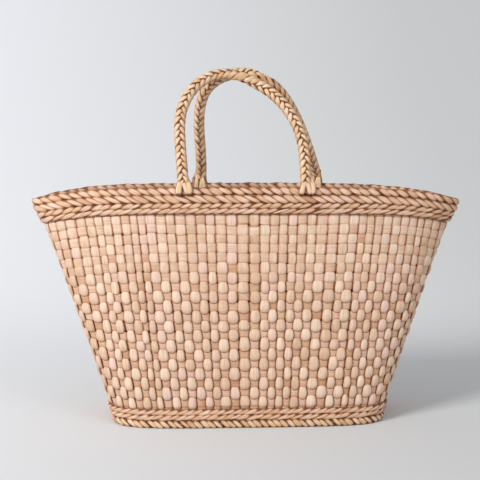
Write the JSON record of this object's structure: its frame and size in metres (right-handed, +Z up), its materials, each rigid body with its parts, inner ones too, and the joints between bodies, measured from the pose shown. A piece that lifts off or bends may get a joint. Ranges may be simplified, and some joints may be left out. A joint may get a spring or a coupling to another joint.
{
  "type": "woven market basket",
  "caption": "Tapered open basket of plain-woven flat rush with twined cords at rim and foot and two hinged braided carrying handles.",
  "frame": {"origin": "middle of the base mat's underside, on the ground", "axes": "+X along the length of the basket to the right end, +Y to the back, +Z up"},
  "size_m": [0.446, 0.1328, 0.3618],
  "materials": {
    "flat_rush": "dry flat rush, matt",
    "twined_rush": "dry twisted rush, satin",
    "braided_rush": "dry braided rush, satin"
  },
  "bodies": {
    "basket": {"base_mat": "flat_rush", "foot_cord_lowest": "twined_rush", "foot_cord_middle": "twined_rush", "foot_cord_top": "twined_rush", "weft_row_01": "flat_rush", "weft_row_02": "flat_rush", "weft_row_03": "flat_rush", "weft_row_04": "flat_rush", "weft_row_05": "flat_rush", "weft_row_06": "flat_rush", "weft_row_07": "flat_rush", "weft_row_08": "flat_rush", "weft_row_09": "flat_rush", "weft_row_10": "flat_rush", "weft_row_11": "flat_rush", "weft_row_12": "flat_rush", "weft_row_13": "flat_rush", "weft_row_14": "flat_rush", "weft_row_15": "flat_rush", "weft_row_16": "flat_rush", "weft_row_17": "flat_rush", "weft_row_18": "flat_rush", "weft_row_19": "flat_rush", "weft_row_20": "flat_rush", "stakes_front": "flat_rush", "stakes_back": "flat_rush", "stakes_left_end": "flat_rush", "stakes_right_end": "flat_rush", "rim_roll": "twined_rush", "rim_fat_cord": "twined_rush", "rim_thin_cord_upper": "twined_rush", "rim_thin_cord_lower": "twined_rush", "front_left_tails": "braided_rush", "front_right_tails": "braided_rush", "back_left_tails": "braided_rush", "back_right_tails": "braided_rush"},
    "front_handle": {"front_handle": "braided_rush"},
    "back_handle": {"back_handle": "braided_rush"}
  },
  "joints": [
    {"name": "front_handle_swing", "type": "hinge", "parent": "basket", "child": "front_handle", "pos_m": [0, -0.03704, 0.2483], "axis": [1, 0, 0], "range_deg": [0, 110]},
    {"name": "back_handle_swing", "type": "hinge", "parent": "basket", "child": "back_handle", "pos_m": [0, 0.03704, 0.2483], "axis": [-1, 0, 0], "range_deg": [0, 110]}
  ]
}
